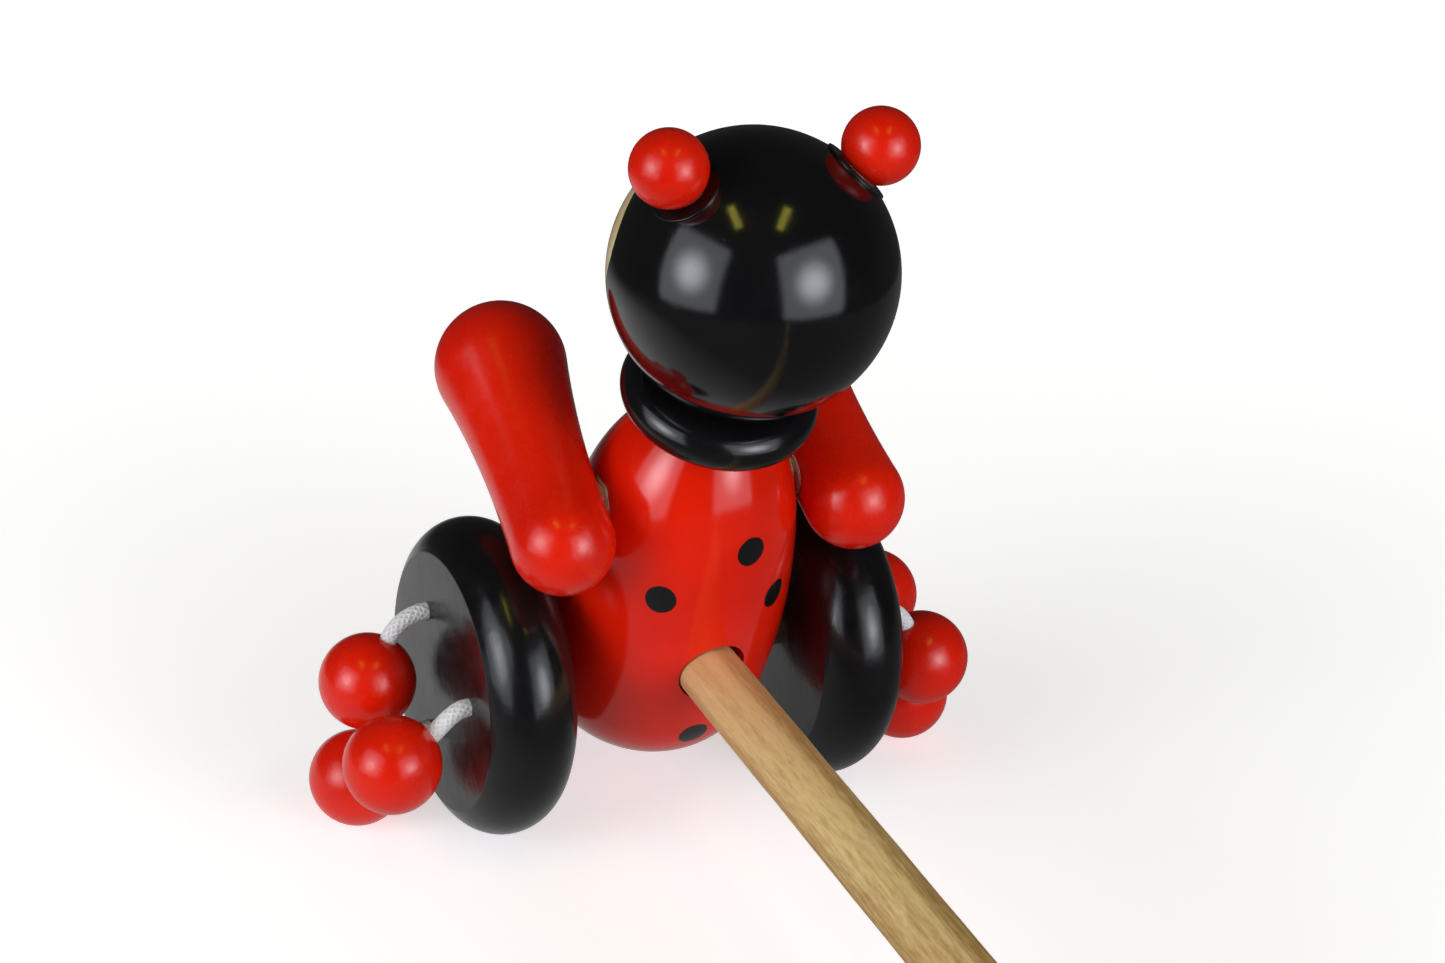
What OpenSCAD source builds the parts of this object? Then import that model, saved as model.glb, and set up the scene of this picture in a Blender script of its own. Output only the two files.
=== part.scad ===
// Push-along ladybird: a turned wooden toy on two wheels, pushed by a stick.
// Millimetres. +Z is up and the toy faces -Y. The origin is on the floor under the middle of the axle.
// The toy is stored as it rests on a floor: on its wheels and the far end of its stick.
// Pieces of the figure are drawn upright with the axle at the origin, then leaned back about the axle.

/* [Body] */
// Greatest radius of the turned body
body_r = 25; // [22:0.5:32]
// Height of the greatest radius above the axle
body_waist_z = 14; // [8:1:20]
// How much narrower the long curve of the sides is at the top than at the greatest radius
side_fall = 10.3; // [6:0.1:14]
// How much more the rounded neck takes off at the top
neck_fall = 5.8; // [2:0.1:6.5]
// Radius of the rounded neck's curve
neck_curve_r = 45; // [30:1:60]
// Radius of the rounded bottom
bottom_round_r = 20; // [14:1:22]
// Depth of the body below the axle
body_below = 17.7; // [14:0.1:22]
// Height of the body's flat top above the axle
body_above = 68.7; // [60:0.1:84]

/* [Collar and head] */
// Radius of the collar
collar_r = 19.7; // [17:0.1:26]
// Thickness of the collar
collar_t = 9; // [6:0.5:12]
// Radius of the head
head_r = 28; // [22:0.5:34]
// Depth that the head sits into the dished collar
head_sink = 1.2; // [0.4:0.1:2]
// Radius of the neck dowel
neck_dowel_r = 4; // [3:0.5:5]
// Length of the neck dowel inside the body and inside the head
neck_dowel_grip = 14; // [8:1:16]

/* [Antennae] */
// Radius of an antenna ball
antenna_r = 7.5; // [5:0.5:9]
// Distance from the centre of the head to the outer face of an antenna washer, less the head's radius
washer_proud = -0.4; // [-0.6:0.1:0.2]
// Radius of an antenna washer
washer_r = 7.2; // [6:0.1:9]
// Thickness of an antenna washer
washer_t = 1.5; // [1:0.1:2.5]
// Depth that a ball sits into its dished washer
ball_sink = 1.1; // [0.3:0.1:1.2]
// Sideways angle of an antenna from upright
antenna_spread = 40; // [25:1:55]
// Forward angle of an antenna from upright
antenna_forward = 7; // [0:1:25]
// Radius of an antenna peg
antenna_peg_r = 2; // [1:0.5:2.5]
// Length of an antenna peg inside the head
antenna_peg_grip = 9; // [5:1:12]

/* [Arms] */
// Radius of an arm's rear end
arm_rear_r = 10.4; // [8:0.1:12]
// Radius of an arm's front end
arm_front_r = 13.4; // [10:0.1:15]
// Distance between the centres of an arm's two round ends
arm_span = 44.9; // [36:0.1:60]
// Radius of the hollow curve along an arm
arm_hollow_r = 200; // [150:10:400]
// Room between a wheel's rim and the rear end of an arm
arm_over_wheel = 5.3; // [3:0.1:7]
// Distance from an arm's rear end centre to the shoulder, along the arm
shoulder_from_rear = 9.5; // [6:0.5:14]
// Glue gap between an arm and the body
shoulder_gap = 0.3; // [0.1:0.1:1]
// Rise of an arm towards its front end, in degrees
arm_rise = 7; // [0:1:12]
// Turn of an arm's front end towards the middle, in degrees
arm_toe_in = 3.5; // [0:0.5:5]
// Radius of a shoulder peg
shoulder_peg_r = 3; // [2:0.5:4]
// Length of a shoulder peg inside the body
shoulder_peg_grip = 9; // [6:1:12]

/* [Wheels and axle] */
// Radius of a wheel
wheel_r = 32.9; // [28:0.1:38]
// Width of a wheel
wheel_w = 18.7; // [16:0.1:24]
// How far the radius of the tread's curve is over half the wheel's width
tread_flatness = 0.75; // [0.45:0.05:3]
// Gap between the body and a wheel
wheel_gap = 2.65; // [1:0.05:8]
// Radius of the axle
axle_r = 4; // [3:0.5:4.5]
// Radial clearance of the axle in the body
axle_clearance = 0.08; // [0.02:0.01:0.1]
// Depth that the axle is glued into a wheel
axle_grip = 11; // [8:1:12]

/* [Beads and cords] */
// Radius of a bead
bead_r = 10; // [8:0.1:10.1]
// Radius of a cord
cord_r = 1.7; // [1.2:0.1:1.8]
// Distance of the cord holes from the middle of a wheel
cord_ring_r = 15; // [14.9:0.1:18]
// Radial clearance of a cord in its wheel hole and in its bead
cord_clearance = 0.08; // [0.05:0.01:0.2]
// Angle of the left wheel's first cord hole, from the rear towards the top
left_phase = 127; // [0:1:359]
// Angle of the right wheel's first cord hole, from the rear towards the top
right_phase = 149; // [0:1:359]

/* [Stick] */
// Radius of the stick
stick_r = 6.4; // [5:0.1:7]
// Length of the stick outside the reference point in its hole
stick_out = 455; // [380:5:560]
// Length of the stick inside that point
stick_in = 20; // [14:1:21]
// Radius of the rounding at the free end of the stick
stick_end_round = 2.5; // [1:0.5:4]
// Upward angle of the stick in the upright body
stick_angle = 16.1; // [10:0.1:30]
// Distance of the stick's reference point behind the axle, in the upright body
stick_y = 20.1; // [18:0.1:23]
// Height of the stick's reference point above the axle, in the upright body
stick_z = 17.4; // [16:0.1:24]
// Radial clearance of the hole round the stick
stick_clearance = 0.8; // [0.3:0.1:1]
// Sideways shift of the hole from the stick, towards the right wheel
stick_shift = 0.5; // [0:0.1:0.6]

/* [Hidden] */
$fn = 96;

red = "#c4160c";
black = "#16161a";
pale_wood = "#dcb87c";
white_cotton = "#f2f0ee";
LEFT = 1;
RIGHT = -1;
far = 400;        // larger than any piece that a half-plane cuts
overcut = 1;      // how far a cut runs past a face

// Heights in the upright figure, measured from the axle. The long curve of the sides is widest at
// the waist. The bottom's round curve and the neck's curve each touch it from inside.
blend_lap = 0.005;    // lets one curve cross the next just past their touching point
side_rise = body_above - body_waist_z;
side_curve_r = (pow(side_rise, 2) + pow(side_fall, 2)) / (2 * side_fall);
side_centre = [body_r - side_curve_r, body_waist_z];
bottom_centre_z = bottom_round_r - body_below;
bottom_reach = side_curve_r - bottom_round_r;
blend_angle = asin((body_waist_z - bottom_centre_z) / bottom_reach);
bottom_centre = [side_centre[0] + bottom_reach * cos(blend_angle), bottom_centre_z];
blend_z = body_waist_z - side_curve_r * sin(blend_angle);
top_edge = [body_r - side_fall - neck_fall, body_above] - side_centre;
neck_reach = side_curve_r - neck_curve_r;
neck_along = (pow(neck_reach, 2) - pow(neck_curve_r, 2) + pow(norm(top_edge), 2)) / (2 * norm(top_edge));
neck_across = sqrt(pow(neck_reach, 2) - pow(neck_along, 2));
neck_centre = side_centre
              + (neck_along * top_edge + neck_across * [top_edge[1], -top_edge[0]]) / norm(top_edge);
neck_blend_z = body_waist_z + side_curve_r * (neck_centre[1] - body_waist_z) / neck_reach;
function arc_x(centre, r, z) = centre[0] + sqrt(pow(r, 2) - pow(z - centre[1], 2));
function body_r_at(z) =
    z < neck_blend_z ? arc_x(side_centre, side_curve_r, z) : arc_x(neck_centre, neck_curve_r, z);
shoulder_z = wheel_r + arm_over_wheel + arm_rear_r;
collar_round_r = collar_t / 2;
collar_top = body_above + collar_t;
head_z = collar_top - head_sink + head_r;

// Antenna distances from the centre of the head
washer_top = head_r + washer_proud;
washer_bottom = washer_top - washer_t;
antenna_reach = washer_top + antenna_r - ball_sink;

// Arm outline: the hollow curve touches both round ends
hollow_z = (pow(arm_span, 2) + pow(arm_hollow_r + arm_rear_r, 2) - pow(arm_hollow_r + arm_front_r, 2))
           / (2 * arm_span);
hollow_x = sqrt(pow(arm_hollow_r + arm_rear_r, 2) - pow(hollow_z, 2));
rear_touch = arm_rear_r / (arm_hollow_r + arm_rear_r) * [hollow_x, hollow_z];
front_touch = [0, arm_span]
              + arm_front_r / (arm_hollow_r + arm_front_r) * [hollow_x, hollow_z - arm_span];
arm_r_at_shoulder = hollow_x - sqrt(pow(arm_hollow_r, 2) - pow(shoulder_from_rear - hollow_z, 2));
shoulder_x = body_r_at(shoulder_z) + arm_r_at_shoulder + shoulder_gap;
peg_in = body_r_at(shoulder_z) - shoulder_peg_grip;
peg_out = shoulder_x + shoulder_peg_r;

// The lean that lets the stick's free end rest on the floor
stick_dir = [0, cos(stick_angle), sin(stick_angle)];
end_bend = [0, stick_y, stick_z] + (stick_out - stick_end_round) * stick_dir
           + (stick_r - stick_end_round) * [0, sin(stick_angle), -cos(stick_angle)];
lean = atan2(end_bend[2], end_bend[1]) + asin((wheel_r - stick_end_round) / norm(end_bend));

tread_round_r = wheel_w / 2 + tread_flatness;
wheel_x = body_r + wheel_gap + wheel_w / 2;
wheel_face = wheel_x + wheel_w / 2;
cord_depth = 13;      // cord glued into a wheel
bead_gap = 0.3;       // room under the end of a cord that turns in its hole

// Cord routes: distance out from the wheel's face, and height above the hole.
// Each runs from inside the wheel to the middle of its bead.
CORDS_LEFT = [
    [[-13, 0], [-6, 0], [0, 0], [2.3, -0.3], [4.5, -1.2], [6.4, -2.7], [8, -4.9], [10, -9], [12.5, -14]],
    [[-13, 0], [-6, 0], [0, 0], [2, -0.3], [4, -1.5], [5.8, -3.1], [7.6, -4.7], [11.4, -7.2], [16, -10]],
    [[-13, 0], [-6, 0], [0, 0], [2, -0.2], [4, -1], [6, -2.3], [7.8, -3.5], [11, -5.5], [15.5, -8.5]]
];
CORDS_RIGHT = [
    [[-13, 0], [-6, 0], [0, 0], [2.3, -0.3], [4.5, -1.2], [6.5, -2.7], [8, -4.2], [10.5, -7.3], [14, -11.5]],
    [[-13, 0], [-6, 0], [0, 0], [2.3, -0.3], [4.5, -1.2], [6.4, -2.7], [8, -4.9], [10, -8.7], [12.5, -13.5]],
    [[-13, 0], [-6, 0], [0, 0], [2, -0.2], [4, -1], [6, -2.2], [8, -3.3], [12, -5.2], [16.5, -7.5]]
];

// --- Placing ---

// Stands the upright figure on the floor and leans it back
module leaned() {
    translate([0, 0, wheel_r]) rotate([-lean, 0, 0]) children();
}

// Turns a piece's +Z to the toy's left or right, along the axle
module along_axle(side) {
    rotate([0, side * 90, 0]) children();
}

module antenna_place(side) {
    translate([0, 0, head_z]) rotate([antenna_forward, 0, 0]) rotate([0, side * antenna_spread, 0]) children();
}

module arm_place(side) {
    translate([side * shoulder_x, 0, shoulder_z])
        rotate([0, 0, -side * arm_toe_in]) rotate([90 - arm_rise, 0, 0]) children();
}

module shoulder_bore(side) {
    translate([side * peg_in, 0, shoulder_z]) along_axle(side) cylinder(r = shoulder_peg_r, h = peg_out - peg_in);
}

module stick_place() {
    translate([0, stick_y, stick_z]) rotate([stick_angle - 90, 0, 0]) children();
}

// Where a cord leaves its wheel
function cord_exit(side, i) =
    let (angle = (side == LEFT ? left_phase : right_phase) - 120 * i)
    [side * wheel_face, cord_ring_r * cos(angle), wheel_r + cord_ring_r * sin(angle)];
function cord_route(side, i) =
    let (exit = cord_exit(side, i), flat = (side == LEFT ? CORDS_LEFT : CORDS_RIGHT)[i])
    [for (p = flat) exit + [side * p[0], 0, p[1]]];
function unit(v) = v / norm(v);
function last(list) = list[len(list) - 1];

// --- Figure ---

module body_outline() {
    intersection() {
        translate(side_centre) circle(r = side_curve_r, $fn = 360);
        union() {
            translate(neck_centre) circle(r = neck_curve_r + blend_lap);
            translate([0, -far]) square([far, far + neck_blend_z]);
        }
        translate([0, blend_z]) square([far, body_above - blend_z]);
    }
    intersection() {
        union() {
            translate(bottom_centre) circle(r = bottom_round_r + blend_lap);
            translate([0, -far / 2]) square([bottom_centre[0], far]);
        }
        translate([0, -body_below]) square([far, body_below + bottom_centre_z]);
    }
}

module body() {
    color(red) leaned() difference() {
        rotate([0, 0, -90]) rotate_extrude() body_outline();
        translate([-far / 2, 0, 0]) along_axle(LEFT) cylinder(r = axle_r + axle_clearance, h = far);
        translate([0, 0, body_above - neck_dowel_grip]) cylinder(r = neck_dowel_r, h = neck_dowel_grip + overcut);
        for (side = [LEFT, RIGHT]) shoulder_bore(side);
        stick_place() translate([-stick_shift, 0, -stick_in])
            cylinder(r = stick_r + stick_clearance, h = far);
    }
}

module collar() {
    color(black) leaned() rotate_extrude() difference() {
        union() {
            translate([0, body_above]) square([collar_r - collar_round_r, collar_t]);
            translate([collar_r - collar_round_r, body_above + collar_round_r]) circle(r = collar_round_r);
        }
        translate([0, head_z]) circle(r = head_r);
        translate([0, body_above - overcut]) square([neck_dowel_r, collar_t + 2 * overcut]);
    }
}

module head() {
    color(black) leaned() difference() {
        translate([0, 0, head_z]) sphere(r = head_r);
        translate([0, 0, head_z - head_r - overcut]) cylinder(r = neck_dowel_r, h = neck_dowel_grip + overcut);
        for (side = [LEFT, RIGHT]) antenna_place(side) {
            translate([0, 0, washer_bottom]) cylinder(r = washer_r, h = head_r);
            translate([0, 0, washer_bottom - antenna_peg_grip]) cylinder(r = antenna_peg_r, h = head_r);
        }
    }
}

module neck_dowel() {
    color(pale_wood) leaned() translate([0, 0, body_above - neck_dowel_grip])
        cylinder(r = neck_dowel_r, h = head_z - head_r + 2 * neck_dowel_grip - body_above);
}

module antenna_washer(side) {
    color(black) leaned() antenna_place(side) rotate_extrude() difference() {
        translate([antenna_peg_r, washer_bottom]) square([washer_r - antenna_peg_r, washer_t]);
        translate([0, antenna_reach]) circle(r = antenna_r);
    }
}

module antenna_ball(side) {
    color(red) leaned() antenna_place(side) difference() {
        translate([0, 0, antenna_reach]) sphere(r = antenna_r);
        translate([0, 0, washer_bottom]) cylinder(r = antenna_peg_r, h = antenna_reach - washer_bottom);
    }
}

module antenna_peg(side) {
    color(pale_wood) leaned() antenna_place(side) translate([0, 0, washer_bottom - antenna_peg_grip])
        cylinder(r = antenna_peg_r, h = antenna_peg_grip + antenna_reach - washer_bottom);
}

module arm_outline() {
    intersection() {
        union() {
            circle(r = arm_rear_r);
            translate([0, arm_span]) circle(r = arm_front_r);
            difference() {
                polygon([[0, rear_touch[1]], rear_touch, front_touch, [0, front_touch[1]]]);
                translate([hollow_x, hollow_z]) circle(r = arm_hollow_r, $fn = 360);
            }
        }
        translate([0, -far / 2]) square(far);
    }
}

module arm(side) {
    color(red) leaned() difference() {
        arm_place(side) translate([0, 0, -shoulder_from_rear]) rotate_extrude() arm_outline();
        shoulder_bore(side);
    }
}

module shoulder_peg(side) {
    color(pale_wood) leaned() shoulder_bore(side);
}

module stick() {
    color(pale_wood) leaned() stick_place() rotate_extrude() {
        translate([0, -stick_in]) square([stick_r, stick_in + stick_out - stick_end_round]);
        square([stick_r - stick_end_round, stick_out]);
        translate([stick_r - stick_end_round, stick_out - stick_end_round]) circle(r = stick_end_round);
    }
}

// --- Wheels, beads and cords ---

module axle() {
    reach = wheel_x - wheel_w / 2 + axle_grip;
    color(pale_wood) translate([-reach, 0, wheel_r]) along_axle(LEFT) cylinder(r = axle_r, h = 2 * reach);
}

module wheel_outline() {
    intersection() {
        union() {
            translate([wheel_r - tread_round_r, 0]) circle(r = tread_round_r);
            translate([0, -wheel_w / 2]) square([wheel_r - tread_round_r, wheel_w]);
        }
        translate([0, -wheel_w / 2]) square([far, wheel_w]);
    }
}

module wheel(side) {
    color(black) difference() {
        translate([side * wheel_x, 0, wheel_r]) along_axle(side) rotate_extrude() wheel_outline();
        translate([side * (wheel_x - wheel_w / 2 - overcut), 0, wheel_r]) along_axle(side)
            cylinder(r = axle_r, h = axle_grip + overcut);
        for (i = [0:2]) translate(cord_exit(side, i) - [side * (cord_depth + bead_gap), 0, 0]) along_axle(side)
            cylinder(r = cord_r + cord_clearance, h = cord_depth + bead_gap + overcut);
    }
}

module bead(side, i) {
    route = cord_route(side, i);
    centre = last(route);
    back = unit(route[len(route) - 2] - centre);
    color(red) translate(centre) rotate([0, atan2(back[0], back[2]), 0]) rotate_extrude() difference() {
        circle(r = bead_r);
        translate([-far, -far / 2]) square(far);
        square([cord_r + cord_clearance, bead_r + overcut]);
    }
}

// A tube of eight sides swept along a route that stays in one plane across the axle's direction
module cord(side, i) {
    route = cord_route(side, i);
    sides = 8;
    count = len(route);
    heading = [for (k = [0:count - 1])
        unit((k < count - 1 ? unit(route[k + 1] - route[k]) : [0, 0, 0])
             + (k > 0 ? unit(route[k] - route[k - 1]) : [0, 0, 0]))];
    rings = [for (k = [0:count - 1]) for (j = [0:sides - 1])
        route[k] + cord_r * (cos(360 * j / sides) * [0, 1, 0]
                             + sin(360 * j / sides) * cross(heading[k], [0, 1, 0]))];
    walls = [for (k = [0:count - 2]) for (j = [0:sides - 1])
        let (n = (j + 1) % sides)
        [k * sides + j, k * sides + n, (k + 1) * sides + n, (k + 1) * sides + j]];
    start_cap = [[for (j = [sides - 1:-1:0]) j]];
    end_cap = [[for (j = [0:sides - 1]) (count - 1) * sides + j]];
    color(white_cotton) polyhedron(points = rings, faces = concat(walls, start_cap, end_cap));
}

body();
collar();
head();
neck_dowel();
antenna_washer(LEFT);  // antenna_washer_left
antenna_washer(RIGHT);  // antenna_washer_right
antenna_ball(LEFT);  // antenna_ball_left
antenna_ball(RIGHT);  // antenna_ball_right
antenna_peg(LEFT);  // antenna_peg_left
antenna_peg(RIGHT);  // antenna_peg_right
arm(LEFT);  // arm_left
arm(RIGHT);  // arm_right
shoulder_peg(LEFT);  // shoulder_peg_left
shoulder_peg(RIGHT);  // shoulder_peg_right
stick();
axle();
wheel(LEFT);  // wheel_left
wheel(RIGHT);  // wheel_right
bead(LEFT, 0);  // bead_left_1
bead(LEFT, 1);  // bead_left_2
bead(LEFT, 2);  // bead_left_3
bead(RIGHT, 0);  // bead_right_1
bead(RIGHT, 1);  // bead_right_2
bead(RIGHT, 2);  // bead_right_3
cord(LEFT, 0);  // cord_left_1
cord(LEFT, 1);  // cord_left_2
cord(LEFT, 2);  // cord_left_3
cord(RIGHT, 0);  // cord_right_1
cord(RIGHT, 1);  // cord_right_2
cord(RIGHT, 2);  // cord_right_3
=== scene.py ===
from math import acos, asin, atan2, cos, degrees, pi, radians, sin, sqrt

import bmesh
import bpy
from mathutils import Matrix, Vector


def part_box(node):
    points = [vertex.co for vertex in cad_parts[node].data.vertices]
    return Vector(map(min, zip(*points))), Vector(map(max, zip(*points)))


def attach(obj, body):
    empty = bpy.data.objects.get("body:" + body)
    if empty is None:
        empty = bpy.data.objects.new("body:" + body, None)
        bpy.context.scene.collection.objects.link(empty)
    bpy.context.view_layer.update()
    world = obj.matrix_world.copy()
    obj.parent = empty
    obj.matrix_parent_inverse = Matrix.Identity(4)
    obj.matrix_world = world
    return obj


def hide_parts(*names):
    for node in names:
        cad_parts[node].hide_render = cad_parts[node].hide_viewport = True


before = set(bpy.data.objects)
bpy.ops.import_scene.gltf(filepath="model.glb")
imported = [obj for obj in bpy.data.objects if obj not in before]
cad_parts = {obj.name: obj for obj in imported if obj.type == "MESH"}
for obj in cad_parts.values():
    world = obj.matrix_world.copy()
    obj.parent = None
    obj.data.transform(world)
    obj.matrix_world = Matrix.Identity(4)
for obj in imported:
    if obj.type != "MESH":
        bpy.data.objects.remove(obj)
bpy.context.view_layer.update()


# --- Camera, light and floor ---------------------------------------------------------------
# The toy stands on a pale table with its face away from the viewer. Two broad soft lights stand
# to the left and right of the viewer, two small warm lamps hang above, and the room is dim.

HEAD_TOP = Vector((0, 0.04, 0.13))


def aim(thing, spot, target, roll=0.0):
    """Puts a camera or a light at spot, looking at target."""
    view = (Vector(target) - Vector(spot)).to_track_quat("-Z", "Y").to_matrix().to_4x4()
    thing.matrix_world = Matrix.Translation(spot) @ view @ Matrix.Rotation(roll, 4, "Z")


EYE = Vector((0.2773, 0.5678, 0.3634))
LOOK_AT = Vector((-0.0192, -0.0078, 0.0648))
CAMERA_ROLL = radians(3.6)
camera_data = bpy.data.cameras.new("camera")
camera_data.lens = 84.7
camera_data.sensor_width = 36.0
camera_data.clip_start = 0.01
camera = bpy.data.objects.new("camera", camera_data)
bpy.context.scene.collection.objects.link(camera)
aim(camera, EYE, LOOK_AT, CAMERA_ROLL)
bpy.context.scene.camera = camera
bpy.context.scene.view_settings.view_transform = "Standard"


def soft_light(name, direction, width, height, power):
    """A softbox: its cloth is brightest in the middle, and fades at its edges."""
    data = bpy.data.lights.new(name, "AREA")
    data.shape = "RECTANGLE"
    data.size = width
    data.size_y = height
    data.energy = power
    data.color = (0.90, 0.94, 1.0)
    data.use_nodes = True
    tree = data.node_tree

    def made(kind, **settings):
        node = tree.nodes.new(kind)
        for key, value in settings.items():
            setattr(node, key, value)
        return node

    def ramp(value, low, high, to_low, to_high):
        node = made("ShaderNodeMapRange", interpolation_type="SMOOTHSTEP")
        tree.links.new(value, node.inputs[0])
        for socket, number in zip(node.inputs[1:5], (low, high, to_low, to_high)):
            socket.default_value = number
        return node.outputs[0]

    def times(a, b):
        node = made("ShaderNodeMath", operation="MULTIPLY")
        tree.links.new(a, node.inputs[0])
        tree.links.new(b, node.inputs[1])
        return node.outputs[0]

    fade = 0.12
    cloth = made("ShaderNodeNewGeometry").outputs["Parametric"]
    from_lamp = made("ShaderNodeVectorMath", operation="DISTANCE")
    tree.links.new(cloth, from_lamp.inputs[0])
    from_lamp.inputs[1].default_value = (0.5, 0.5, 0)
    strength = ramp(from_lamp.outputs["Value"], 0.0, 0.34, 4.4, 0.82)
    split = made("ShaderNodeSeparateXYZ")
    tree.links.new(cloth, split.inputs[0])
    for way in split.outputs[:2]:
        strength = times(strength, ramp(way, 0.0, fade, 0.0, 1.0))
        strength = times(strength, ramp(way, 1.0 - fade, 1.0, 1.0, 0.0))
    tree.links.new(strength, tree.nodes["Emission"].inputs["Strength"])
    light = bpy.data.objects.new(name, data)
    bpy.context.scene.collection.objects.link(light)
    middle = Vector((0, 0.02, 0.08))
    aim(light, middle + Vector(direction).normalized(), middle)


soft_light("soft_left", (0.972, 0.233, 0.268), 1.04, 1.06, 7.4)
soft_light("soft_right", (-0.350, 0.937, 0.232), 1.06, 1.04, 7.4)

for name, direction, turn in (("room_lamp_left", (0.43, 0.24, 0.87), 0.85),
                              ("room_lamp_right", (-0.11, 0.48, 0.87), -0.85)):
    data = bpy.data.lights.new(name, "AREA")
    data.shape = "RECTANGLE"
    data.size = 0.09
    data.size_y = 0.34
    data.energy = 0.42
    data.color = (1.0, 0.90, 0.12)
    light = bpy.data.objects.new(name, data)
    bpy.context.scene.collection.objects.link(light)
    aim(light, HEAD_TOP + Vector(direction).normalized(), HEAD_TOP, turn)

world = bpy.data.worlds.new("dim_room")
world.use_nodes = True
world.node_tree.nodes["Background"].inputs["Color"].default_value = (0.95, 0.96, 1.0, 1)
room = world.node_tree
# The wall behind the toy is white to the viewer, and the room that the toy reflects is dim
behind = room.nodes.new("ShaderNodeMath")
behind.operation = "MULTIPLY_ADD"
behind.inputs[1].default_value = 0.95
behind.inputs[2].default_value = 0.035
room.links.new(room.nodes.new("ShaderNodeLightPath").outputs["Is Camera Ray"], behind.inputs[0])
room.links.new(behind.outputs[0], room.nodes["Background"].inputs["Strength"])
bpy.context.scene.world = world

bpy.ops.mesh.primitive_circle_add(vertices=96, radius=2.5, fill_type="NGON")
table = bpy.context.object
table.name = "table_top"
paper = bpy.data.materials.new("white_table")
paper.use_nodes = True
shader = paper.node_tree.nodes["Principled BSDF"]
shader.inputs["Base Color"].default_value = (0.90, 0.89, 0.90, 1)
shader.inputs["Roughness"].default_value = 0.75
shader.inputs["Emission Color"].default_value = (1, 0.995, 1, 1)
nodes, link = paper.node_tree.nodes, paper.node_tree.links.new
table_place = nodes.new("ShaderNodeTexCoord").outputs["Object"]


def around(spot, near, far, at_near, at_far):
    """A value that changes with the distance from a spot on the table."""
    away = nodes.new("ShaderNodeVectorMath")
    away.operation = "DISTANCE"
    away.inputs[1].default_value = spot
    link(table_place, away.inputs[0])
    ramp = nodes.new("ShaderNodeMapRange")
    link(away.outputs["Value"], ramp.inputs[0])
    for socket, number in zip(ramp.inputs[1:5], (near, far, at_near, at_far)):
        socket.default_value = number
    return ramp.outputs[0]


# To the viewer the table glows less close to the toy: painted shade, a soft shadow pool around the toy's foot,
# laid into the table's glow
link(around((-0.02, 0.08, 0), 0.08, 0.45, 0.56, 0.86), shader.inputs["Emission Strength"])
# To all but the viewer, the table is bright only beside the toy, and it ends close by
seen = nodes.new("ShaderNodeLightPath")
bounce = nodes.new("ShaderNodeMath")
bounce.operation = "MULTIPLY_ADD"
bounce.inputs[1].default_value = 0.22
link(seen.outputs["Is Diffuse Ray"], bounce.inputs[0])
link(around((0.10, -0.12, 0), 0.07, 0.24, 0.66, 0.10), bounce.inputs[2])
glow = nodes.new("ShaderNodeEmission")
link(bounce.outputs[0], glow.inputs["Strength"])
edge = nodes.new("ShaderNodeMixShader")
link(around((0, 0.04, 0), 0.44, 0.48, 0.0, 1.0), edge.inputs[0])
link(glow.outputs[0], edge.inputs[1])
link(nodes.new("ShaderNodeBsdfTransparent").outputs[0], edge.inputs[2])
either = nodes.new("ShaderNodeMixShader")
link(seen.outputs["Is Camera Ray"], either.inputs[0])
link(edge.outputs[0], either.inputs[1])
link(shader.outputs[0], either.inputs[2])
link(either.outputs[0], nodes["Material Output"].inputs["Surface"])
table.data.materials.append(paper)


# --- Body ----------------------------------------------------------------------------------
# The body is turned from one block of hardwood and drilled for the axle, the neck, the arms
# and the stick. It is sprayed with gloss red lacquer, and its spots are dabbed on in black.

MM = 0.001


def arc(centre_x, centre_z, radius, start, end, count):
    """Points along an arc of a turned outline, from one angle to another, in degrees."""
    turn = [radians(start + (end - start) * i / count) for i in range(count + 1)]
    return [(centre_x + radius * cos(a), centre_z + radius * sin(a)) for a in turn]


def turned_mesh(outline, place, steps=128):
    """Spins an outline of (radius, height) points in millimetres, and puts it in place."""
    shape = bmesh.new()
    points = [shape.verts.new((x, 0, z)) for x, z in outline]
    lines = [shape.edges.new(pair) for pair in zip(points, points[1:])]
    bmesh.ops.spin(shape, geom=points + lines, cent=(0, 0, 0), axis=(0, 0, 1), dvec=(0, 0, 0),
                   angle=2 * pi, steps=steps, use_merge=True, use_duplicate=False)
    bmesh.ops.remove_doubles(shape, verts=shape.verts, dist=1e-4)
    bmesh.ops.recalc_face_normals(shape, faces=shape.faces)
    bmesh.ops.transform(shape, matrix=place @ Matrix.Scale(MM, 4), verts=shape.verts)
    return shape


def finished(name, shape, finish, body, sharp=40):
    """Makes a piece of a bmesh, with its finish, riding on its body."""
    mesh = bpy.data.meshes.new(name)
    shape.to_mesh(mesh)
    shape.free()
    for face in mesh.polygons:
        face.use_smooth = True
    mesh.set_sharp_from_angle(angle=radians(sharp))
    piece = bpy.data.objects.new(name, mesh)
    bpy.context.scene.collection.objects.link(piece)
    mesh.materials.append(finish)
    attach(piece, body)
    return piece


def drilled(piece, drills):
    """Cuts the drills, which are meshes in place, out of a piece."""
    for shape in drills:
        mesh = bpy.data.meshes.new("drill")
        shape.to_mesh(mesh)
        shape.free()
        drill = bpy.data.objects.new("drill", mesh)
        bpy.context.scene.collection.objects.link(drill)
        cut = piece.modifiers.new("drill", "BOOLEAN")
        cut.operation = "DIFFERENCE"
        cut.solver = "EXACT"
        cut.object = drill
        bpy.context.view_layer.objects.active = piece
        bpy.ops.object.modifier_apply(modifier=cut.name)
        bpy.data.objects.remove(drill)
        bpy.data.meshes.remove(mesh)
    for face in piece.data.polygons:
        face.use_smooth = True
    piece.data.set_sharp_from_angle(angle=radians(35))


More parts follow.
